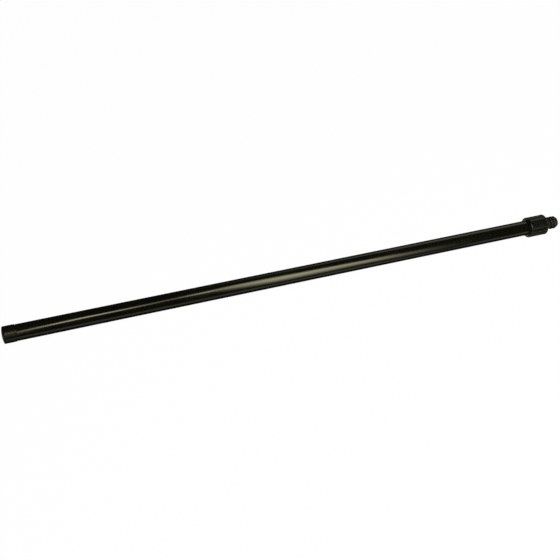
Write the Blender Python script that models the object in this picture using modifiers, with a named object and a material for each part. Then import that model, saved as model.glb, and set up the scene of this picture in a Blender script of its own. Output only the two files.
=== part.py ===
"""Telescoping roller extension pole, closed: a black steel tube, a screw-lock collar and a threaded tip.

Metres, +Z up. The pole lies along +X with the origin at the centre of its butt end. Every piece is
drawn about its own local Z axis and parented to the empty "pole_axis", which lays that axis along
+X, so z below is the distance from the butt end.
"""

import math

import bmesh
import bpy

# Driving dimensions
POLE_LENGTH = 0.8395
OUTER_R = 0.0111
INNER_R = 0.0095
TUBE_WALL = 0.0006
GAP = 0.0003

# Butt cap
CAP_R = 0.0116
CAP_HEAD = 0.018
CAP_DOME = 0.0026
CAP_FLAT_R = 0.004
CAP_FLOOR = 0.004
CAP_PLUG = 0.025
CAP_WALL = 0.0016

# Threaded tip, 19 mm across its crests with five threads to the inch
TIP_REACH = 0.0225
TIP_PITCH = 0.00508
TIP_TURNS = 2.5
TIP_CREST_R = 0.009525
TIP_ROOT_R = 0.0079
TIP_FLANGE = 0.0010
TIP_NECK_R = 0.0090
TIP_NECK = 0.0048
TIP_NECK_TAPER = 0.0011
TIP_STEM = 0.022
TIP_CHAMFER = 0.0008

# Lock nut and the sleeve that it screws on
NUT_R = 0.0155
NUT_LENGTH = 0.0297
NUT_RIBS = 10
RIB_PHASE = math.radians(-12.0)
RIB_HEIGHT = 0.0011
NUT_BORE_R = 0.0135
NUT_LIP = 0.004
NUT_ROUNDING = 0.0008
SLEEVE_R = 0.0123
LOCK_PITCH = 0.003
LOCK_TURNS = 2
LOCK_THREAD_HEIGHT = 0.0009

# Grip collet and clamp ring
COLLET_BASE_R = 0.0122
COLLET_NOSE_R = 0.0109
COLLET_BASE = 0.0025
COLLET_TAPER = 0.0072
COLLET_SLOT = 0.0012
CLAMP_R = 0.0129

# Guide plug and what rides on it
PLUG_HEAD_R = 0.0100
PLUG_HEAD = 0.015
PLUG_STEM = 0.022
GROOVE_R = 0.0090
GROOVE_START = 0.004
GROOVE_WIDTH = 0.006
RING_SPLIT = 0.0015
STOP_LENGTH = 0.060
STOP_SLACK = 0.0002

# Pins and rivets
PIN_R = 0.0015
PIN_LENGTH = 0.0186
PIN_HOLE_R = PIN_R + GAP
RIVET_HEAD_R = 0.0020
RIVET_HEAD = 0.0004

# Places along the pole
NUT_FRONT = POLE_LENGTH - TIP_REACH
NUT_BACK = NUT_FRONT - NUT_LENGTH
SLEEVE_START = NUT_BACK - 0.0018
RIVET_Z = NUT_BACK + 0.0032
LOCK_THREAD_Z = NUT_BACK + 0.0068
OUTER_START = CAP_HEAD + GAP
OUTER_END = NUT_BACK + 0.0105
SLEEVE_END = OUTER_END + 0.0035
COLLET_START = SLEEVE_END + GAP
CLAMP_START = COLLET_START + COLLET_BASE + 0.0028
CLAMP_END = NUT_FRONT - NUT_LIP - GAP
PLUG_START = 0.055
INNER_START = PLUG_START + PLUG_HEAD + GAP
INNER_END = NUT_FRONT + 0.0005
PLUG_PIN_Z = INNER_START + 0.011
TIP_PIN_Z = INNER_END - 0.012

OUTER_BORE_R = OUTER_R - TUBE_WALL
INNER_BORE_R = INNER_R - TUBE_WALL
RUNNING_R = INNER_R + GAP

MERGE = 0.00001
SHARP_ANGLE = math.radians(35.0)
STEPS = 48
HIDDEN_STEPS = 32
SMALL_STEPS = 12


# Scene, collections and materials


def clear_scene():
    for obj in list(bpy.data.objects):
        bpy.data.objects.remove(obj, do_unlink=True)


def new_collection(name):
    collection = bpy.data.collections.new(name)
    bpy.context.scene.collection.children.link(collection)
    return collection


def new_axis(name):
    """The pole's axis: local Z along +X, local X down."""
    axis = bpy.data.objects.new(name, None)
    axis.rotation_euler = (0.0, math.pi / 2.0, 0.0)
    PARTS.objects.link(axis)
    return axis


def new_material(name, colour, roughness, metallic=0.0):
    material = bpy.data.materials.new(name)
    material.use_nodes = True
    shader = material.node_tree.nodes["Principled BSDF"]
    shader.inputs["Base Color"].default_value = (*colour, 1.0)
    shader.inputs["Roughness"].default_value = roughness
    shader.inputs["Metallic"].default_value = metallic
    return material


# Shapes


def add_object(name, data, material, z=0.0):
    """A part whose origin is on the pole's axis, z from the butt end."""
    obj = bpy.data.objects.new(name, data)
    PARTS.objects.link(obj)
    obj.parent = AXIS
    obj.location = (0.0, 0.0, z)
    if material:
        obj.data.materials.append(material)
    return obj


def as_cutter(obj):
    PARTS.objects.unlink(obj)
    CUTTERS.objects.link(obj)
    obj.hide_render = True
    obj.display_type = "WIRE"
    return obj


def turned(name, profile, material=None, z=0.0, steps=STEPS, closed=False):
    """A profile of (radius, z) points turned about the axis, its outer side from top to bottom."""
    points = [(radius, 0.0, height) for radius, height in profile]
    edges = [(i, i + 1) for i in range(len(points) - 1)]
    if closed:
        edges.append((len(points) - 1, 0))
    mesh = bpy.data.meshes.new(name)
    mesh.from_pydata(points, edges, [])
    obj = add_object(name, mesh, material, z)
    screw = obj.modifiers.new("turn", "SCREW")
    screw.axis = "Z"
    screw.steps = steps
    screw.render_steps = steps
    screw.use_merge_vertices = True
    screw.merge_threshold = MERGE
    weld = obj.modifiers.new("weld", "WELD")
    weld.merge_threshold = MERGE
    return obj


def tube(name, inside_r, outside_r, length, material, z, steps=STEPS):
    """A plain tube whose lower end is at z."""
    profile = [(outside_r, length), (outside_r, 0.0), (inside_r, 0.0), (inside_r, length)]
    return turned(name, profile, material, z, steps, closed=True)


def cylinder(name, radius, length, material=None, z=0.0, steps=SMALL_STEPS):
    """A solid cylinder whose lower end is at z."""
    profile = [(0.0, length), (radius, length), (radius, 0.0), (0.0, 0.0)]
    return turned(name, profile, material, z, steps)


def box(name, size, z):
    """A box cutter centred on the axis at z."""
    bm = bmesh.new()
    bmesh.ops.create_cube(bm, size=1.0)
    bmesh.ops.scale(bm, vec=size, verts=bm.verts)
    mesh = bpy.data.meshes.new(name)
    bm.to_mesh(mesh)
    bm.free()
    return as_cutter(add_object(name, mesh, None, z))


def cross_hole(name, z):
    """A cutter for the hole that a pin or a pair of rivets goes through, along Y."""
    length = 4.0 * OUTER_R
    profile = [(0.0, length), (PIN_HOLE_R, length), (PIN_HOLE_R, 0.0), (0.0, 0.0)]
    hole = turned(name, profile, z=z, steps=SMALL_STEPS)
    hole.location.y = -length / 2.0
    hole.rotation_euler.x = -math.pi / 2.0
    return as_cutter(hole)


def boolean(obj, other, operation="DIFFERENCE"):
    modifier = obj.modifiers.new(other.name, "BOOLEAN")
    modifier.operation = operation
    modifier.solver = "EXACT"
    modifier.object = other


def thread_ridge(name, wall_r, crest_r, pitch, turns, z, phase=0.0, per_turn=24):
    """A helical ridge with its foot sunk in the wall, fading into the wall at both ends."""
    sink = math.copysign(0.0004, wall_r - crest_r)
    foot_r = wall_r + sink
    base = 0.30 * pitch
    crest = 0.17 * pitch
    count = round(turns * per_turn)
    fade = per_turn / 4.0
    bm = bmesh.new()
    rings = []
    for i in range(count + 1):
        rise = min(1.0, 0.15 + i / fade, 0.15 + (count - i) / fade)
        top_r = foot_r + (crest_r - foot_r) * rise
        angle = phase + 2.0 * math.pi * i / per_turn
        middle = pitch * i / per_turn
        section = ((foot_r, -base), (top_r, -crest), (top_r, crest), (foot_r, base))
        rings.append(
            [bm.verts.new((r * math.cos(angle), r * math.sin(angle), middle + dz)) for r, dz in section]
        )
    for low, high in zip(rings, rings[1:]):
        for j in range(4):
            k = (j + 1) % 4
            bm.faces.new((low[j], low[k], high[k], high[j]))
    bm.faces.new(rings[0])
    bm.faces.new(rings[-1])
    bmesh.ops.recalc_face_normals(bm, faces=bm.faces)
    mesh = bpy.data.meshes.new(name)
    bm.to_mesh(mesh)
    bm.free()
    return as_cutter(add_object(name, mesh, None, z))


def finish(pieces):
    """Applies every piece's modifiers, then shades it smooth between its sharp edges."""
    graph = bpy.context.evaluated_depsgraph_get()
    meshes = [bpy.data.meshes.new_from_object(piece.evaluated_get(graph)) for piece in pieces]
    for piece, mesh in zip(pieces, meshes):
        piece.modifiers.clear()
        piece.data = mesh
        mesh.name = piece.name
        mesh.shade_smooth()
        mesh.set_sharp_from_angle(angle=SHARP_ANGLE)


# Handle: the outer tube, its butt cap and the fixed half of the lock


def make_outer_tube():
    outer = tube("outer_tube", OUTER_BORE_R, OUTER_R, OUTER_END - OUTER_START, BLACK_ENAMEL, OUTER_START)
    boolean(outer, cross_hole("rivet_hole", RIVET_Z))
    return outer


def make_butt_cap():
    """A domed head, a little wider than the tube, on a hollow plug."""
    plug_r = OUTER_BORE_R - GAP
    hollow_r = plug_r - CAP_WALL
    top = CAP_HEAD + CAP_PLUG
    profile = [(0.0, CAP_FLOOR), (hollow_r, CAP_FLOOR), (hollow_r, top)]
    profile += [(plug_r - 0.0006, top), (plug_r, top - 0.0015), (plug_r, CAP_HEAD)]
    profile += [(CAP_R - 0.0003, CAP_HEAD), (CAP_R, CAP_HEAD - 0.0003)]
    dome_steps = 7
    last = math.acos(CAP_FLAT_R / CAP_R)
    for i in range(dome_steps + 1):
        t = last * i / dome_steps
        profile.append((CAP_R * math.cos(t), CAP_DOME * (1.0 - math.sin(t) / math.sin(last))))
    profile.append((0.0, 0.0))
    return turned("butt_cap", profile, BLACK_PLASTIC)


def make_lock_sleeve():
    """Sits over the tube's mouth, carries the nut's thread, and stops the guide plug with its lip."""
    length = SLEEVE_END - SLEEVE_START
    rim = 0.0013
    seat = OUTER_END + GAP - SLEEVE_START
    profile = [(SLEEVE_R, length), (SLEEVE_R, rim), (SLEEVE_R + 0.0006, rim)]
    profile += [(SLEEVE_R + 0.0006, 0.0003), (SLEEVE_R + 0.0003, 0.0), (OUTER_R + GAP, 0.0)]
    profile += [(OUTER_R + GAP, seat), (RUNNING_R, seat), (RUNNING_R, length)]
    sleeve = turned("lock_sleeve", profile, BLACK_PLASTIC, SLEEVE_START, closed=True)
    boolean(sleeve, cross_hole("sleeve_rivet_hole", RIVET_Z))
    crest_r = SLEEVE_R + LOCK_THREAD_HEIGHT
    ridge = thread_ridge("sleeve_thread", SLEEVE_R, crest_r, LOCK_PITCH, LOCK_TURNS, LOCK_THREAD_Z)
    boolean(sleeve, ridge, "UNION")
    return sleeve


def make_rivet(name, side):
    """A rivet through the sleeve and the tube wall, its head under the nut's skirt."""
    foot = OUTER_BORE_R + 0.00025 - SLEEVE_R - GAP
    profile = [(0.0, RIVET_HEAD), (RIVET_HEAD_R, RIVET_HEAD), (RIVET_HEAD_R, 0.0)]
    profile += [(PIN_R, 0.0), (PIN_R, foot), (0.0, foot)]
    rivet = turned(name, profile, STEEL, RIVET_Z, SMALL_STEPS)
    rivet.location.y = side * (SLEEVE_R + GAP)
    rivet.rotation_euler.x = -side * math.pi / 2.0
    return rivet


def make_grip_collet():
    """A tapered ring slotted from its nose, so that its fingers close on the inner tube."""
    length = COLLET_BASE + COLLET_TAPER
    profile = [(COLLET_NOSE_R, length), (COLLET_BASE_R, COLLET_BASE), (COLLET_BASE_R, 0.0)]
    profile += [(RUNNING_R, 0.0), (RUNNING_R, length)]
    collet = turned("grip_collet", profile, GREY_NYLON, COLLET_START, HIDDEN_STEPS, closed=True)
    for i in range(3):
        size = (COLLET_SLOT, 3.0 * COLLET_BASE_R, 2.0 * COLLET_TAPER)
        slot = box(f"collet_slot_{i}", size, COLLET_START + length)
        slot.rotation_euler.z = math.pi * i / 3.0
        boolean(collet, slot)
    return collet


# Lock: the clamp ring slides, and the nut turns on it


def make_clamp_ring():
    """Rides in front of the collet, a cone inside that wedges the fingers in."""
    length = CLAMP_END - CLAMP_START
    slope = (COLLET_BASE_R - COLLET_NOSE_R) / COLLET_TAPER
    clearance = GAP * math.sqrt(1.0 + slope * slope)
    nose = COLLET_START + COLLET_BASE + COLLET_TAPER - CLAMP_START
    mouth_r = COLLET_NOSE_R + slope * nose + clearance
    end = nose + GAP
    profile = [(CLAMP_R - 0.0003, length), (CLAMP_R, length - 0.0003), (CLAMP_R, 0.0), (mouth_r, 0.0)]
    profile += [(mouth_r - slope * end, end), (RUNNING_R + GAP, end), (RUNNING_R + GAP, length)]
    return turned("clamp_ring", profile, GREY_NYLON, CLAMP_START, HIDDEN_STEPS, closed=True)


def rib_outline():
    """The nut's outline: broad round ribs with narrow grooves between them."""
    per_rib = 8
    points = []
    for i in range(NUT_RIBS * per_rib):
        turn = 2.0 * math.pi * i / (NUT_RIBS * per_rib)
        wave = 0.5 + 0.5 * math.cos(NUT_RIBS * turn)
        radius = NUT_R - RIB_HEIGHT * (1.0 - math.sqrt(wave))
        angle = RIB_PHASE + turn
        points.append((radius * math.cos(angle), radius * math.sin(angle)))
    return points


def make_lock_nut():
    outline = bpy.data.curves.new("rib_outline", "CURVE")
    outline.dimensions = "2D"
    outline.fill_mode = "BOTH"
    outline.extrude = NUT_LENGTH / 2.0
    points = rib_outline()
    spline = outline.splines.new("POLY")
    spline.points.add(len(points) - 1)
    for point, (x, y) in zip(spline.points, points):
        point.co = (x, y, 0.0, 1.0)
    spline.use_cyclic_u = True
    curve = bpy.data.objects.new("rib_outline", outline)
    PARTS.objects.link(curve)
    graph = bpy.context.evaluated_depsgraph_get()
    mesh = bpy.data.meshes.new_from_object(curve.evaluated_get(graph))
    bpy.data.objects.remove(curve)
    bm = bmesh.new()
    bm.from_mesh(mesh)
    bmesh.ops.remove_doubles(bm, verts=bm.verts, dist=MERGE)
    bmesh.ops.translate(bm, vec=(0.0, 0.0, NUT_LENGTH / 2.0), verts=bm.verts)
    bm.to_mesh(mesh)
    bm.free()
    mesh.name = "lock_nut"
    nut = add_object("lock_nut", mesh, BLACK_PLASTIC, NUT_BACK)

    rounding = nut.modifiers.new("rounding", "BEVEL")
    rounding.width = NUT_ROUNDING
    rounding.segments = 2
    rounding.limit_method = "ANGLE"
    rounding.angle_limit = math.radians(70.0)

    lip = NUT_LENGTH - NUT_LIP
    over = 0.001
    bore = [(0.0, NUT_LENGTH + over), (RUNNING_R + 0.0006 + over, NUT_LENGTH + over)]
    bore += [(RUNNING_R, NUT_LENGTH - 0.0006), (RUNNING_R, lip), (NUT_BORE_R, lip)]
    bore += [(NUT_BORE_R, -over), (0.0, -over)]
    boolean(nut, as_cutter(turned("nut_bore", bore, z=NUT_BACK)))

    crest_r = NUT_BORE_R - LOCK_THREAD_HEIGHT
    ridge = thread_ridge("nut_thread", NUT_BORE_R, crest_r, LOCK_PITCH, LOCK_TURNS, LOCK_THREAD_Z, math.pi)
    boolean(nut, ridge, "UNION")
    return nut


# Inner section: the tube that slides out, its guide plug and the threaded tip


def make_inner_tube():
    inner = tube("inner_tube", INNER_BORE_R, INNER_R, INNER_END - INNER_START, BLACK_ENAMEL, INNER_START)
    boolean(inner, cross_hole("plug_pin_hole", PLUG_PIN_Z))
    boolean(inner, cross_hole("tip_pin_hole", TIP_PIN_Z))
    return inner


def make_guide_plug():
    """The plug at the inner tube's rear end, with a groove for the guide ring."""
    stem_r = INNER_BORE_R - GAP
    hollow_r = 0.0055
    top = PLUG_HEAD + GAP + PLUG_STEM
    groove_end = GROOVE_START + GROOVE_WIDTH
    profile = [(stem_r - 0.0008, top), (stem_r, top - 0.0015), (stem_r, PLUG_HEAD), (PLUG_HEAD_R, PLUG_HEAD)]
    profile += [(PLUG_HEAD_R, groove_end), (GROOVE_R, groove_end), (GROOVE_R, GROOVE_START)]
    profile += [(PLUG_HEAD_R, GROOVE_START), (PLUG_HEAD_R, 0.0005), (PLUG_HEAD_R - 0.0005, 0.0)]
    profile += [(hollow_r, 0.0), (hollow_r, top)]
    plug = turned("guide_plug", profile, GREY_NYLON, PLUG_START, HIDDEN_STEPS, closed=True)
    boolean(plug, cross_hole("plug_hole", PLUG_PIN_Z))
    return plug


def make_guide_ring():
    """A split ring, free to turn in the plug's groove, that runs on the outer tube's bore."""
    z = PLUG_START + GROOVE_START + GAP
    length = GROOVE_WIDTH - 2.0 * GAP
    ring = tube("guide_ring", GROOVE_R + GAP, OUTER_BORE_R - GAP, length, GREY_NYLON, z, HIDDEN_STEPS)
    split = box("ring_split", (OUTER_BORE_R, RING_SPLIT, 3.0 * length), z + length / 2.0)
    split.location.x = GROOVE_R
    boolean(ring, split)
    return ring


def make_stop_sleeve():
    """A spacer on the inner tube that meets the lock sleeve's lip at full reach."""
    inside_r = INNER_R + STOP_SLACK
    outside_r = OUTER_BORE_R - STOP_SLACK
    return tube("stop_sleeve", inside_r, outside_r, STOP_LENGTH, GREY_NYLON, INNER_START, HIDDEN_STEPS)


def make_threaded_tip():
    stem_r = INNER_BORE_R - GAP
    base = INNER_END - TIP_STEM
    seat = TIP_STEM + GAP
    flange = seat + TIP_FLANGE
    neck = flange + TIP_NECK
    top = POLE_LENGTH - base
    profile = [(0.0, top), (TIP_ROOT_R - TIP_CHAMFER, top), (TIP_ROOT_R, top - TIP_CHAMFER)]
    profile += [(TIP_ROOT_R, neck + TIP_NECK_TAPER), (TIP_NECK_R, neck), (TIP_NECK_R, flange)]
    profile += [(INNER_R - 0.0003, flange), (INNER_R, flange - 0.0003), (INNER_R, seat), (stem_r, seat)]
    profile += [(stem_r, 0.0008), (stem_r - 0.0008, 0.0), (0.0, 0.0)]
    tip = turned("threaded_tip", profile, BLACK_PLASTIC, base)
    boolean(tip, cross_hole("tip_hole", TIP_PIN_Z))
    start = POLE_LENGTH - 0.0013 - 0.3 * TIP_PITCH - TIP_TURNS * TIP_PITCH
    ridge = thread_ridge("tip_thread", TIP_ROOT_R, TIP_CREST_R, TIP_PITCH, TIP_TURNS, start)
    boolean(tip, ridge, "UNION")
    return tip


def make_cross_pin(name, z):
    """A pin through the inner tube's two walls and the stem inside it, flush with the tube."""
    pin = cylinder(name, PIN_R, PIN_LENGTH, STEEL, z)
    pin.location.y = -PIN_LENGTH / 2.0
    pin.rotation_euler.x = -math.pi / 2.0
    return pin


clear_scene()
PARTS = new_collection("roller_extension_pole")
CUTTERS = new_collection("cutters")
AXIS = new_axis("pole_axis")
BLACK_ENAMEL = new_material("black_enamel", (0.012, 0.012, 0.010), 0.32)
BLACK_PLASTIC = new_material("black_plastic", (0.014, 0.014, 0.012), 0.50)
GREY_NYLON = new_material("grey_nylon", (0.30, 0.30, 0.29), 0.55)
STEEL = new_material("zinc_steel", (0.55, 0.55, 0.56), 0.35, 1.0)

finish([
    make_outer_tube(),
    make_butt_cap(),
    make_lock_sleeve(),
    make_rivet("sleeve_rivet_left", 1.0),
    make_rivet("sleeve_rivet_right", -1.0),
    make_grip_collet(),
    make_clamp_ring(),
    make_lock_nut(),
    make_inner_tube(),
    make_guide_plug(),
    make_guide_ring(),
    make_stop_sleeve(),
    make_cross_pin("plug_pin", PLUG_PIN_Z),
    make_threaded_tip(),
    make_cross_pin("tip_pin", TIP_PIN_Z),
])
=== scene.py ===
# Looks of the telescoping roller extension pole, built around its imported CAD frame.
# Metres, +Z up. The pole's axis is the X axis, from its butt end at x = 0 to its threaded tip.

import math

import bmesh
import bpy
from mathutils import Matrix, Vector


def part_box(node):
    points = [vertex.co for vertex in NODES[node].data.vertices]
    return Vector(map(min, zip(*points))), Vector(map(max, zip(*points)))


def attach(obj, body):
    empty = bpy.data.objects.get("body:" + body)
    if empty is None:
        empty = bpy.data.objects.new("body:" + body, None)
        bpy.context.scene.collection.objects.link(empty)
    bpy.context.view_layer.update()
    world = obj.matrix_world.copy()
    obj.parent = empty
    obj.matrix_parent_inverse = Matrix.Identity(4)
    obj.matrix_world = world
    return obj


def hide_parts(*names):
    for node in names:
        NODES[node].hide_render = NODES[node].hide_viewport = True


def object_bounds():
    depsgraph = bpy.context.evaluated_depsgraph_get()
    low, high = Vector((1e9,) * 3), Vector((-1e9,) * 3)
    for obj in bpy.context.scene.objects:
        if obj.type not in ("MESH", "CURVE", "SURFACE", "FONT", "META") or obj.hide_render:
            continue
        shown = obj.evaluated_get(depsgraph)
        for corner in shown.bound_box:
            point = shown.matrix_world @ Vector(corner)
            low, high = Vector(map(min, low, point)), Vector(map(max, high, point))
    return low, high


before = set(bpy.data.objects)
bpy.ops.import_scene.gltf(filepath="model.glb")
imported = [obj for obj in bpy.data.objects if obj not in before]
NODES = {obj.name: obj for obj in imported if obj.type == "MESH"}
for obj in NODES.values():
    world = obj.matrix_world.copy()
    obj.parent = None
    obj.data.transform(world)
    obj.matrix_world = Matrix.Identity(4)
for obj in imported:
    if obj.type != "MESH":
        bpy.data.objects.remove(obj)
cad_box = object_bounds()

# Small clearances and edge breaks that repeat
GAP = 0.0003
EDGE = 0.00012
HOLD = 0.00015
PIN_HOLE_R = 0.0018

# Fineness of the meshes
ARC_STEPS = 6
ROUND_STEPS = 160
COLLAR_STEPS = 240
SHARP = math.radians(38.0)

# The blacks' reflections lean to olive
OLIVE_SHEEN = (1.0, 0.99, 0.70, 1.0)


# Measures of the CAD nodes


def span(node):
    """Where a node starts and ends along the pole."""
    low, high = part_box(node)
    return low.x, high.x


def middle(node):
    low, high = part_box(node)
    return (low + high) / 2.0


def radii(node):
    """The least and greatest distance of a node's points from the pole's axis."""
    reach = [math.hypot(v.co.y, v.co.z) for v in NODES[node].data.vertices]
    return min(reach), max(reach)


def crest_angle(node):
    """The angle about +X, from +Y, of the node's point furthest from the axis."""
    far = max(NODES[node].data.vertices, key=lambda v: round(math.hypot(v.co.y, v.co.z), 7))
    return math.atan2(far.co.z, far.co.y)


# Shapes


def smooth(value, low, high):
    """0 below low, 1 above high, and an even S between them."""
    t = max(0.0, min(1.0, (value - low) / (high - low)))
    return t * t * (3.0 - 2.0 * t)


def rounded(corners, closed=True):
    """Rounds an outline's corners, each (x, radius, rounding), with holding points beside every arc."""
    points = []
    count = len(corners)
    for i, (x, r, cut) in enumerate(corners):
        here = Vector((x, r))
        if cut == 0.0 or (not closed and i in (0, count - 1)):
            points.append(here)
            continue
        back = Vector(corners[i - 1][:2]) - here
        ahead = Vector(corners[(i + 1) % count][:2]) - here
        u, v = back.normalized(), ahead.normalized()
        half = u.angle(v) / 2.0
        run = cut / math.tan(half)
        centre = here + (u + v).normalized() * (cut / math.sin(half))
        start, end = here + u * run - centre, here + v * run - centre
        points.append(here + u * (run + min(HOLD, 0.2 * back.length)))
        for k in range(ARC_STEPS + 1):
            t = k / ARC_STEPS
            points.append(centre + (start * (1.0 - t) + end * t).normalized() * cut)
        points.append(here + v * (run + min(HOLD, 0.2 * ahead.length)))
    return [(p.x, p.y) for p in points]


def object_from(name, bm):
    bmesh.ops.recalc_face_normals(bm, faces=bm.faces)
    mesh = bpy.data.meshes.new(name)
    bm.to_mesh(mesh)
    bm.free()
    obj = bpy.data.objects.new(name, mesh)
    bpy.context.scene.collection.objects.link(obj)
    return obj


def turned(name, profile, closed=True, steps=ROUND_STEPS, outline=None):
    """Turns (x, radius) points about the pole's axis. outline(x, radius, angle) may vary the radius."""
    bm = bmesh.new()
    rings = []
    for x, r in profile:
        if r < 1e-9:
            rings.append([bm.verts.new((x, 0.0, 0.0))])
            continue
        ring = []
        for j in range(steps):
            angle = math.tau * j / steps
            reach = outline(x, r, angle) if outline else r
            ring.append(bm.verts.new((x, reach * math.cos(angle), reach * math.sin(angle))))
        rings.append(ring)
    pairs = list(zip(rings, rings[1:]))
    if closed:
        pairs.append((rings[-1], rings[0]))
    for a, b in pairs:
        for j in range(steps):
            k = (j + 1) % steps
            if len(a) == 1:
                bm.faces.new((a[0], b[j], b[k]))
            elif len(b) == 1:
                bm.faces.new((a[j], b[0], a[k]))
            else:
                bm.faces.new((a[j], b[j], b[k], a[k]))
    return object_from(name, bm)


def thread_ridge(name, x, wall_r, crest_r, pitch, turns, start_angle, per_turn=72):
    """A right-hand screw ridge, its foot sunk in the wall, that runs out into the wall at both ends."""
    foot_r = wall_r + math.copysign(0.0004, wall_r - crest_r)
    section = ((-0.30, 0.0), (-0.20, 0.80), (-0.17, 0.94), (-0.13, 1.0))
    section += tuple((-along, share) for along, share in reversed(section))
    count = round(turns * per_turn)
    fade = per_turn / 8.0
    bm = bmesh.new()
    rings = []
    for i in range(count + 1):
        rise = min(1.0, 0.15 + i / fade, 0.15 + (count - i) / fade)
        angle = start_angle + math.tau * i / per_turn
        ring = []
        for along, share in section:
            r = foot_r + (crest_r - foot_r) * share * rise
            place = (x + pitch * (i / per_turn + along), r * math.cos(angle), r * math.sin(angle))
            ring.append(bm.verts.new(place))
        rings.append(ring)
    sides = len(section)
    for low, high in zip(rings, rings[1:]):
        for j in range(sides):
            k = (j + 1) % sides
            bm.faces.new((low[j], low[k], high[k], high[j]))
    bm.faces.new(rings[0])
    bm.faces.new(rings[-1])
    return object_from(name, bm)


def cross_hole(x, radius):
    """A cutter along Y through the pole."""
    bm = bmesh.new()
    bmesh.ops.create_cone(
        bm, cap_ends=True, segments=32, radius1=radius, radius2=radius, depth=0.06
    )
    bmesh.ops.rotate(bm, matrix=Vector((0, 0, 1)).rotation_difference((0, 1, 0)).to_matrix(), verts=bm.verts)
    bmesh.ops.translate(bm, vec=(x, 0.0, 0.0), verts=bm.verts)
    return object_from("cutter", bm)


def boolean(obj, other, operation):
    """Joins or cuts two closed meshes and keeps only the result."""
    modifier = obj.modifiers.new("boolean", "BOOLEAN")
    modifier.operation = operation
    modifier.solver = "EXACT"
    modifier.object = other
    bpy.context.view_layer.update()
    graph = bpy.context.evaluated_depsgraph_get()
    mesh = bpy.data.meshes.new_from_object(obj.evaluated_get(graph))
    obj.modifiers.clear()
    obj.data = mesh
    bpy.data.objects.remove(other)


def shade(obj):
    obj.data.name = obj.name
    obj.data.shade_smooth()
    obj.data.set_sharp_from_angle(angle=SHARP)


# Node materials


class Surface:
    """A material under construction: its Principled shader and a few node shorthands."""

    def __init__(self, name):
        self.material = bpy.data.materials.new(name)
        self.material.use_nodes = True
        self.tree = self.material.node_tree
        self.shader = self.tree.nodes["Principled BSDF"]
        self.place = self.node("ShaderNodeTexCoord").outputs["Object"]

    def node(self, kind, settings=(), inputs=()):
        made = self.tree.nodes.new(kind)
        for key, value in dict(settings).items():
            setattr(made, key, value)
        for key, value in dict(inputs).items():
            self.feed(made.inputs[key], value)
        return made

    def feed(self, socket, value):
        if isinstance(value, bpy.types.NodeSocket):
            self.tree.links.new(value, socket)
        else:
            socket.default_value = value

    def set(self, **values):
        for key, value in values.items():
            self.feed(self.shader.inputs[key.replace("_", " ")], value)

    def math(self, operation, a, b=0.0, clamp=False):
        settings = {"operation": operation, "use_clamp": clamp}
        return self.node("ShaderNodeMath", settings, {0: a, 1: b}).outputs[0]

    def stretched(self, along, across):
        """The object's coordinates with their own scales along and across the pole."""
        inputs = {0: self.place, 1: (along, across, across)}
        return self.node("ShaderNodeVectorMath", {"operation": "MULTIPLY"}, inputs).outputs[0]

    def noise(self, size, detail=2.0, roughness=0.5, vector=None):
        """Noise of 0 to 1 whose grains are about size metres across."""
        inputs = {"Vector": vector or self.place, "Scale": 1.0 / size, "Detail": detail}
        inputs["Roughness"] = roughness
        return self.node("ShaderNodeTexNoise", inputs=inputs).outputs[0]

    def range(self, value, low, high, to_low=0.0, to_high=1.0):
        """An even S from to_low to to_high as value goes from low to high."""
        inputs = {"Value": value, "From Min": low, "From Max": high}
        inputs.update({"To Min": to_low, "To Max": to_high})
        settings = {"interpolation_type": "SMOOTHSTEP"}
        return self.node("ShaderNodeMapRange", settings, inputs).outputs[0]

    def mix(self, share, first, second):
        made = self.node("ShaderNodeMix", {"data_type": "RGBA"})
        self.feed(made.inputs[0], share)
        for socket, colour in ((made.inputs[6], first), (made.inputs[7], second)):
            self.feed(socket, colour if isinstance(colour, bpy.types.NodeSocket) else (*colour, 1.0))
        return made.outputs[2]

    def distance_from_axis(self):
        split = self.node("ShaderNodeSeparateXYZ", inputs={0: self.place})
        y, z = split.outputs[1], split.outputs[2]
        squares = self.math("ADD", self.math("MULTIPLY", y, y), self.math("MULTIPLY", z, z))
        return self.math("SQRT", squares)

    def bump(self, *layers):
        """Chains bump layers, each (height, depth in metres), into the shader's normal."""
        normal = None
        for height, depth in layers:
            inputs = {"Height": height, "Distance": depth, "Strength": 1.0}
            if normal:
                inputs["Normal"] = normal
            normal = self.node("ShaderNodeBump", inputs=inputs).outputs[0]
        self.set(Normal=normal)


def make_enamel(name, scuff):
    """Semi-gloss black enamel on steel: orange peel, hairline drag marks and a little dust."""
    s = Surface(name)
    patches = s.noise(0.030, 3.0)
    peel = s.noise(0.0011, 2.0)
    hairs = s.noise(1.0, 2.0, 0.6, s.stretched(14.0, 2600.0))
    drag = s.noise(1.0, 1.0, 0.5, s.stretched(35.0, 500.0))
    marks = s.math("MULTIPLY", s.range(hairs, 0.60, 0.78), s.range(drag, 0.42, 0.70))
    dust = s.range(s.noise(0.00032, 1.0), 0.735, 0.80)
    base = s.mix(s.range(patches, 0.3, 0.7), (0.0042, 0.0042, 0.0028), (0.0064, 0.0063, 0.0043))
    scuffed = s.mix(s.math("MULTIPLY", marks, scuff), base, (0.045, 0.044, 0.040))
    colour = s.mix(s.math("MULTIPLY", dust, 0.5), scuffed, (0.060, 0.058, 0.052))
    gloss = s.range(patches, 0.25, 0.75, 0.09, 0.13)
    rough = s.math("ADD", gloss, s.math("MULTIPLY", marks, 0.25 * scuff))
    rough = s.math("ADD", rough, s.math("MULTIPLY", dust, 0.20), True)
    s.set(Base_Color=colour, Roughness=rough, IOR=1.48, Specular_Tint=OLIVE_SHEEN)
    s.bump((peel, 0.0000045), (marks, -0.0000020 * scuff))
    return s.material


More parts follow.
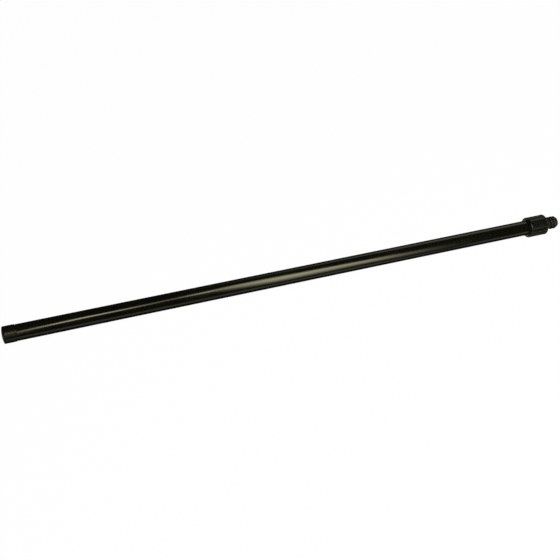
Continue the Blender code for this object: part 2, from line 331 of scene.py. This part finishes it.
def make_moulded(name, dark, light, rough, grain, depth, painted_crest_radius=None):
    """Moulded black plastic: spark-eroded grain, faint flow marks, lengthwise scratches, and, if asked, a
    painted highlight that lightens the outermost skin along the crests.
    """
    s = Surface(name)
    clouds = s.noise(0.012, 3.0)
    texture = s.noise(grain, 2.0, 0.6)
    flow = s.noise(1.0, 2.0, 0.5, s.stretched(60.0, 420.0))
    scratches = s.range(s.noise(1.0, 1.0, 0.5, s.stretched(1900.0, 160.0)), 0.66, 0.80)
    base = s.mix(s.range(clouds, 0.3, 0.7), dark, light)
    # The lengthwise scratches are wear; the optional crest mask below adds a painted highlight
    scratches_and_crest_highlight = s.math("MULTIPLY", scratches, 0.35)
    # Painted highlight: the skin within 0.35 mm of the outermost radius (the rib and thread crests) is
    # lightened in broken patches
    if painted_crest_radius:
        painted_crest_highlight = s.range(s.distance_from_axis(), painted_crest_radius - 0.00035, painted_crest_radius - 0.00003)
        broken = s.range(s.noise(0.0016, 3.0, 0.6), 0.36, 0.66, 0.15, 0.85)
        scratches_and_crest_highlight = s.math("MAXIMUM", scratches_and_crest_highlight, s.math("MULTIPLY", painted_crest_highlight, broken))
    # Scratches and the painted crest highlight both lighten the colour towards a light grey
    colour = s.mix(scratches_and_crest_highlight, base, tuple(3.0 * c for c in light))
    roughness = s.range(texture, 0.3, 0.7, rough - 0.06, rough + 0.05)
    polished = s.math("SUBTRACT", roughness, s.math("MULTIPLY", scratches_and_crest_highlight, 0.06))
    s.set(Base_Color=colour, Roughness=polished, IOR=1.46, Specular_Tint=OLIVE_SHEEN)
    s.bump((texture, depth), (flow, 0.000008))
    return s.material


def make_nylon(name):
    """Natural glass-filled nylon: warm grey with pale fibres near the skin."""
    s = Surface(name)
    clouds = s.noise(0.008, 3.0)
    fibres = s.range(s.noise(1.0, 2.0, 0.6, s.stretched(500.0, 3000.0)), 0.58, 0.74)
    base = s.mix(s.range(clouds, 0.3, 0.7), (0.27, 0.265, 0.24), (0.35, 0.345, 0.31))
    colour = s.mix(s.math("MULTIPLY", fibres, 0.5), base, (0.47, 0.46, 0.42))
    s.set(Base_Color=colour, Roughness=s.range(clouds, 0.3, 0.7, 0.48, 0.60), Subsurface_Weight=0.08)
    s.shader.inputs["Subsurface Radius"].default_value = (0.002, 0.0018, 0.0014)
    s.bump((s.noise(0.0003, 2.0), 0.000010))
    return s.material


def make_zinc(name):
    """Zinc-plated steel with drawn lines and an uneven passivation tint."""
    s = Surface(name)
    tint = s.noise(0.002, 3.0)
    inputs = {0: s.place, 1: (2600.0, 90.0, 2600.0)}
    drawn = s.node("ShaderNodeVectorMath", {"operation": "MULTIPLY"}, inputs).outputs[0]
    lines = s.noise(1.0, 3.0, 0.6, drawn)
    colour = s.mix(s.range(tint, 0.3, 0.7), (0.56, 0.57, 0.60), (0.64, 0.62, 0.55))
    s.set(Base_Color=colour, Roughness=s.range(lines, 0.3, 0.7, 0.26, 0.42), Metallic=1.0)
    s.bump((lines, 0.000004))
    return s.material


# Pieces


def make_tube(name, node, pins):
    """A drawn tube with broken edges and a cross hole at each pin. Holding rings keep its shading even."""
    x0, x1 = span(node)
    bore, outside = radii(node)
    beside = [x for pin in pins for x in (middle(pin).x - 0.004, middle(pin).x + 0.004)]
    inner = [(x, bore, 0.0) for x in sorted(beside) if x0 < x < x1 - 0.001]
    outer = [(x, outside, 0.0) for x, _, _ in reversed(inner)]
    corners = [(x0, outside, EDGE), (x0, bore, EDGE), *inner, (x1, bore, EDGE), (x1, outside, EDGE), *outer]
    obj = turned(name, rounded(corners))
    for pin in pins:
        boolean(obj, cross_hole(middle(pin).x, PIN_HOLE_R), "DIFFERENCE")
    shade(obj)
    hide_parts(node)
    return obj


def make_end_cap():
    """The butt's domed cap: a bead at its rim, a shallow gate recess in the dome and a hollow plug."""
    x0, x1 = span("butt_cap")
    head_r = radii("butt_cap")[1]
    rim = span("outer_tube")[0] - GAP
    plug_r = radii("outer_tube")[0] - GAP
    hollow_r = plug_r - 0.0016
    dome, flat_r, recess_r = 0.0026, 0.0040, 0.0030
    corners = [(x0 + 0.004, 0.0, 0.0), (x0 + 0.004, hollow_r, 0.0006), (x1, hollow_r, 0.0002)]
    corners += [(x1, plug_r - 0.0006, 0.0002), (x1 - 0.0015, plug_r, 0.0003), (rim, plug_r, 0.0001)]
    corners += [(rim, head_r - 0.0001, 0.0002), (rim - 0.0012, head_r, 0.0002)]
    corners += [(rim - 0.0014, head_r - 0.00025, 0.0001), (rim - 0.0019, head_r - 0.00025, 0.0001)]
    corners += [(rim - 0.0022, head_r, 0.0002), (x0 + dome + 0.0006, head_r, 0.0)]
    profile = rounded(corners, closed=False)
    last = math.acos(flat_r / head_r)
    for i in range(29):
        t = last * i / 28.0
        profile.append((x0 + dome * (1.0 - math.sin(t) / math.sin(last)), head_r * math.cos(t)))
    profile += rounded(
        [
            (x0, flat_r - 0.0002, 0.0),
            (x0, recess_r, 0.0001),
            (x0 + 0.0003, recess_r - 0.0002, 0.0001),
            (x0 + 0.0003, 0.0007, 0.00005),
            (x0 + 0.0001, 0.0005, 0.00005),
            (x0 + 0.0001, 0.0, 0.0),
        ],
        closed=False,
    )
    obj = turned("end_cap", profile, closed=False)
    shade(obj)
    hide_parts("butt_cap")
    return obj


def make_lock_collar():
    """The lock nut: broad lengthwise ribs that run out into a plain band at each end."""
    x0, x1 = span("lock_nut")
    crest_r = radii("lock_nut")[1]
    phase = crest_angle("lock_nut")
    running_r = radii("inner_tube")[1] + GAP
    bore_r, lip = 0.0135, 0.004
    ribs, rib_height, groove, band_drop = 10, 0.0015, 0.10, 0.0001
    taper, taper_depth, front_round = 0.0020, 0.00090, 0.0005
    thread_start, thread_height, thread_pitch, thread_turns = 0.0068, 0.0009, 0.003, 2

    def skin(x):
        back, front = x - x0, x1 - x
        r = crest_r
        if back < taper:
            r -= taper_depth * (1.0 - back / taper) ** 1.7
        if front < front_round:
            r -= front_round - math.sqrt(max(0.0, front_round**2 - (front_round - front) ** 2))
        return r

    def outline(x, r, angle):
        if r < skin(x) - 1e-6:
            return r
        share = smooth(x - x0, 0.0012, 0.0032) * smooth(x1 - x, 0.0004, 0.0018)
        wave = math.cos(0.5 * ribs * (angle - phase))
        height = math.sqrt((wave * wave + groove**2) / (1.0 + groove**2))
        return r - band_drop * (1.0 - share) - share * rib_height * (1.0 - height)

    ends = [i * 0.0002 for i in range(30)]
    near = sorted(x0 + e for e in ends)
    far = sorted(x1 - e for e in ends)
    body = [near[-1] + (far[0] - near[-1]) * i / 6.0 for i in range(1, 6)]
    fine = [x1 - front_round * (1.0 - math.sin(math.pi / 2 * i / 8)) for i in range(9)]
    places = sorted(set(near + body + [x for x in far if x < x1 - front_round] + fine))
    inside = rounded(
        [
            (x1, crest_r - front_round - 0.0012, 0.0),
            (x1, running_r + 0.0007, 0.0002),
            (x1 - 0.0007, running_r, 0.0002),
            (x1 - lip, running_r, 0.0001),
            (x1 - lip, bore_r, 0.0003),
            (x0 + 0.0004, bore_r, 0.0001),
            (x0, bore_r + 0.0003, 0.0001),
            (x0, crest_r - taper_depth - 0.0002, 0.0),
        ],
        closed=False,
    )
    obj = turned("lock_collar", [(x, skin(x)) for x in places] + inside, steps=COLLAR_STEPS, outline=outline)
    crest = bore_r - thread_height
    ridge = thread_ridge(
        "collar_thread", x0 + thread_start, bore_r, crest, thread_pitch, thread_turns, math.pi / 2
    )
    boolean(obj, ridge, "UNION")
    shade(obj)
    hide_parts("lock_nut")
    return obj


def make_screw_tip():
    """The tip: a flange on the inner tube's end, a plain neck, a coarse screw thread and a chamfered end."""
    x0, x1 = span("threaded_tip")
    crest_r = radii("threaded_tip")[1]
    tube_bore, tube_r = radii("inner_tube")
    seat = span("inner_tube")[1] + GAP
    stem_r = tube_bore - GAP
    root_r, neck_r, pitch, turns = 0.0079, 0.0090, 0.00508, 2.5
    chamfer, neck_taper, thread_inset = 0.0008, 0.0011, 0.0006
    flange = seat + 0.0010
    neck = flange + 0.0048
    corners = [(x1 - 0.0004, 0.0, 0.0), (x1 - 0.0004, 0.0022, 0.0002), (x1, 0.0025, 0.0001)]
    corners += [(x1, root_r - chamfer, 0.0003), (x1 - chamfer, root_r, 0.0003)]
    corners += [(neck + neck_taper, root_r, 0.0006), (neck, neck_r, 0.0004), (flange, neck_r, 0.0003)]
    corners += [(flange, tube_r, 0.0002), (seat, tube_r, 0.0001), (seat, stem_r, 0.0001)]
    corners += [(x0 + chamfer, stem_r, 0.0003), (x0, stem_r - chamfer, 0.0003), (x0, 0.0, 0.0)]
    obj = turned("screw_tip", rounded(corners, closed=False), closed=False)
    start = x1 - thread_inset - 0.3 * pitch - turns * pitch
    boolean(obj, thread_ridge("tip_thread", start, root_r, crest_r, pitch, turns, -math.pi / 2), "UNION")
    boolean(obj, cross_hole(middle("tip_pin").x, PIN_HOLE_R), "DIFFERENCE")
    shade(obj)
    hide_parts("threaded_tip")
    return obj


def wear(obj, material):
    obj.data.materials.clear()
    obj.data.materials.append(material)


def dress(node, material):
    """Gives a carried-over CAD node its material."""
    slots = NODES[node].material_slots
    for slot in slots:
        slot.material = material
    if not slots:
        NODES[node].data.materials.append(material)


# Studio: pale floor, soft lamps and the camera. Its places are in pole lengths, LENGTH metres each.


WHITE = 0.985
LENGTH = cad_box[1].x
CARD_DISTANCE = 1.593 * LENGTH
FLOOR_GAP = 0.0005
FILL = 0.025
LAMP_COLOUR = (1.0, 0.99, 0.93, 1.0)
END_LAMP_RADIUS = 0.55 * LENGTH
END_LAMP_GLOW = 1.8
CAMERA_PLACE = Vector((-0.05511, -1.32202, 0.88715)) * LENGTH
CAMERA_HEADING = 21.190
CAMERA_DROP = 32.127
CAMERA_LENS = 64.286


def around(x, degrees, distance):
    """A point at an angle above the horizontal on the -Y side of the pole's axis."""
    angle = math.radians(degrees)
    return (x, -distance * math.cos(angle), distance * math.sin(angle))


def between(stations, x):
    """Values of the (x, ...) stations at x, straight between neighbours."""
    for a, b in zip(stations, stations[1:]):
        if x <= b[0]:
            t = max(0.0, (x - a[0]) / (b[0] - a[0]))
            return [p + (q - p) * t for p, q in zip(a[1:], b[1:])]
    return stations[-1][1:]


def glowing(name, bm):
    """Makes a lamp of a sheet whose points hold their own glow. It lights the pole and isn't seen."""
    card = object_from(name, bm)
    card.visible_camera = False
    card.visible_shadow = False
    material = bpy.data.materials.new(name)
    material.use_nodes = True
    tree = material.node_tree
    tree.nodes.clear()
    out = tree.nodes.new("ShaderNodeOutputMaterial")
    lamp = tree.nodes.new("ShaderNodeEmission")
    level = tree.nodes.new("ShaderNodeAttribute")
    level.attribute_name = "glow"
    lamp.inputs["Color"].default_value = LAMP_COLOUR
    tree.links.new(level.outputs["Fac"], lamp.inputs["Strength"])
    tree.links.new(lamp.outputs[0], out.inputs["Surface"])
    card.data.materials.append(material)


def end_card(name, centre, radius, glow):
    """A round soft lamp that faces an end of the pole. It fades from its middle to its rim."""
    rings, steps = 8, 48
    bm = bmesh.new()
    layer = bm.verts.layers.float.new("glow")
    hub = bm.verts.new(centre)
    hub[layer] = glow
    inside = None
    for i in range(1, rings + 1):
        reach = radius * i / rings
        places = [around(0.0, 360.0 * j / steps, reach) for j in range(steps)]
        ring = [bm.verts.new(centre + Vector(place)) for place in places]
        for vert in ring:
            vert[layer] = glow * (1.0 - smooth(i / rings, 0.0, 1.0))
        for j in range(steps):
            k = (j + 1) % steps
            bm.faces.new((inside[j], ring[j], ring[k], inside[k]) if inside else (hub, ring[j], ring[k]))
        inside = ring
    glowing(name, bm)


def soft_card(name, peak, tail, stations):
    """A glowing sheet bent round the pole. Stations are (x in pole lengths, low angle, high angle, glow).
    Across the sheet the glow peaks at the peak share of its width. A higher tail dims its lower side.
    """
    columns, rows = 96, 32
    first, last = stations[0][0], stations[-1][0]
    bm = bmesh.new()
    layer = bm.verts.layers.float.new("glow")
    grid = []
    for i in range(columns + 1):
        x = first + (last - first) * i / columns
        low, high, glow = between(stations, x)
        line = []
        for j in range(rows + 1):
            v = j / rows
            vert = bm.verts.new(around(x * LENGTH, low + (high - low) * v, CARD_DISTANCE))
            vert[layer] = glow * smooth(v, 0.0, peak) ** tail * (1.0 - smooth(v, peak, 1.0))
            line.append(vert)
        grid.append(line)
    for a, b in zip(grid, grid[1:]):
        for j in range(rows):
            bm.faces.new((a[j], b[j], b[j + 1], a[j + 1]))
    glowing(name, bm)


def make_floor(level, white):
    """A plain pale floor under the pole, evenly white as a lit sweep is."""
    bm = bmesh.new()
    bmesh.ops.create_grid(bm, x_segments=4, y_segments=4, size=9.0)
    bmesh.ops.translate(bm, vec=(0.0, 0.0, level), verts=bm.verts)
    floor = object_from("floor", bm)
    material = bpy.data.materials.new("floor")
    material.use_nodes = True
    shader = material.node_tree.nodes["Principled BSDF"]
    shader.inputs["Base Color"].default_value = (0.02, 0.02, 0.02, 1.0)
    shader.inputs["Specular IOR Level"].default_value = 0.0
    shader.inputs["Emission Color"].default_value = (1.0, 1.0, 1.0, 1.0)
    shader.inputs["Emission Strength"].default_value = white
    floor.data.materials.append(material)
    floor.visible_glossy = floor.visible_diffuse = floor.visible_shadow = False


def make_world(seen, fill):
    """White where the camera sees past the floor, and a dim even fill for everything else."""
    world = bpy.data.worlds.new("studio")
    bpy.context.scene.world = world
    world.use_nodes = True
    tree = world.node_tree
    background = tree.nodes["Background"]
    path = tree.nodes.new("ShaderNodeLightPath")
    level = tree.nodes.new("ShaderNodeMapRange")
    level.inputs["To Min"].default_value = fill
    level.inputs["To Max"].default_value = seen
    tree.links.new(path.outputs["Is Camera Ray"], level.inputs["Value"])
    background.inputs["Color"].default_value = (1.0, 1.0, 1.0, 1.0)
    tree.links.new(level.outputs[0], background.inputs["Strength"])


def make_camera(place, heading, drop, lens):
    """heading is the view's compass angle from +Y towards +X, and drop its angle below the horizon."""
    data = bpy.data.cameras.new("camera")
    data.lens = lens
    data.sensor_width = 36.0
    camera = bpy.data.objects.new("camera", data)
    bpy.context.scene.collection.objects.link(camera)
    turn, tilt = math.radians(heading), math.radians(drop)
    forward = (math.sin(turn) * math.cos(tilt), math.cos(turn) * math.cos(tilt), -math.sin(tilt))
    camera.location = place
    camera.rotation_mode = "QUATERNION"
    camera.rotation_quaternion = Vector(forward).to_track_quat("-Z", "Y")
    bpy.context.scene.camera = camera


ENAMEL = make_enamel("black_enamel", 0.45)
SLID_ENAMEL = make_enamel("black_enamel_slid_on", 1.0)
COLLAR_R = radii("lock_nut")[1]
TIP_R = radii("threaded_tip")[1]
CAP_BLACK = make_moulded(
    "cap_black", (0.0042, 0.0042, 0.0032), (0.0068, 0.0067, 0.0052), 0.28, 0.00028, 0.000005
)
# The collar and the tip pass their outermost radius, so their crests get the painted highlight
COLLAR_BLACK = make_moulded(
    "collar_black", (0.0042, 0.0042, 0.0032), (0.0068, 0.0067, 0.0052), 0.23, 0.00026, 0.000004, COLLAR_R
)
TIP_BLACK = make_moulded(
    "tip_black", (0.0090, 0.0090, 0.0068), (0.0140, 0.0138, 0.0105), 0.40, 0.00024, 0.000008, TIP_R
)
NYLON = make_nylon("nylon")
ZINC = make_zinc("zinc_steel")

pieces = (
    (make_tube("handle_tube", "outer_tube", ["sleeve_rivet_left"]), "handle", ENAMEL, "tube_enamel"),
    (make_end_cap(), "handle", CAP_BLACK, "cap_plastic"),
    (make_lock_collar(), "nut", COLLAR_BLACK, "nut_plastic"),
    (
        make_tube("reach_tube", "inner_tube", ["plug_pin", "tip_pin"]),
        "inner_section",
        SLID_ENAMEL,
        "tube_enamel",
    ),
    (make_screw_tip(), "inner_section", TIP_BLACK, "tip_plastic"),
)
for piece, body, material, slot in pieces:
    wear(piece, material)
    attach(piece, body)

dress("lock_sleeve", COLLAR_BLACK)
for node in ("grip_collet", "clamp_ring", "guide_plug", "guide_ring", "stop_sleeve"):
    dress(node, NYLON)
for node in ("sleeve_rivet_left", "sleeve_rivet_right", "plug_pin", "tip_pin"):
    dress(node, ZINC)

make_floor(cad_box[0].z - FLOOR_GAP, WHITE)
make_world(WHITE, FILL)

# The narrow streak along the near third of the tube. It bends down on the butt cap.
soft_card("near_strip", 0.5, 1.0, (
    (-0.02, -14, 14, 0), (0.03, -8, 20, 4), (0.07, 6, 34, 4), (0.10, 20, 48, 3), (0.20, 28, 56, 7),
    (0.30, 34, 62, 10), (0.40, 32, 60, 6.5), (0.50, 32, 60, 3), (0.60, 38, 68, 1.1), (0.66, 38, 66, 4),
    (0.72, 38, 66, 15), (0.78, 38, 68, 0),
))
# The broad streak along the middle, crisp above and fading below
soft_card("window", 0.72, 1.6, (
    (0.72, 20, 76, 0), (0.78, 0, 80, 5), (0.84, -20, 82, 6), (0.95, -40, 76, 8), (1.06, -38, 66, 7),
    (1.18, -30, 58, 7), (1.30, -30, 50, 5.5), (1.42, -44, 42, 2.2), (1.54, -50, 28, 0.7), (1.67, -60, 10, 0),
))
# Dim lamps that keep the underside, the far top edge and the rear from going dead black
soft_card("low_fill", 0.5, 1.0, ((-0.5, -70, -22, 0.3), (0.3, -70, -22, 0.7), (2.2, -70, -22, 0.7)))
soft_card("rear_top", 0.5, 1.0, (
    (0.6, 104, 156, 0), (1.2, 104, 156, 0.6), (1.6, 92, 156, 0.9), (2.2, 92, 156, 0.9),
))
soft_card("rear_low", 0.5, 1.0, (
    (-0.7, 198, 228, 0), (-0.2, 198, 228, 1.8), (1.4, 198, 228, 1.8), (1.9, 198, 228, 0),
))
# Below the axis, so that the end faces reflect them and the top of the tube doesn't
end_card("butt_light", Vector((-1.2, 0.0, -0.35)) * LENGTH, END_LAMP_RADIUS, END_LAMP_GLOW)
end_card("tip_light", Vector((2.2, 0.0, -0.35)) * LENGTH, END_LAMP_RADIUS, END_LAMP_GLOW)

make_camera(CAMERA_PLACE, CAMERA_HEADING, CAMERA_DROP, CAMERA_LENS)
bpy.context.scene.view_settings.view_transform = "Standard"
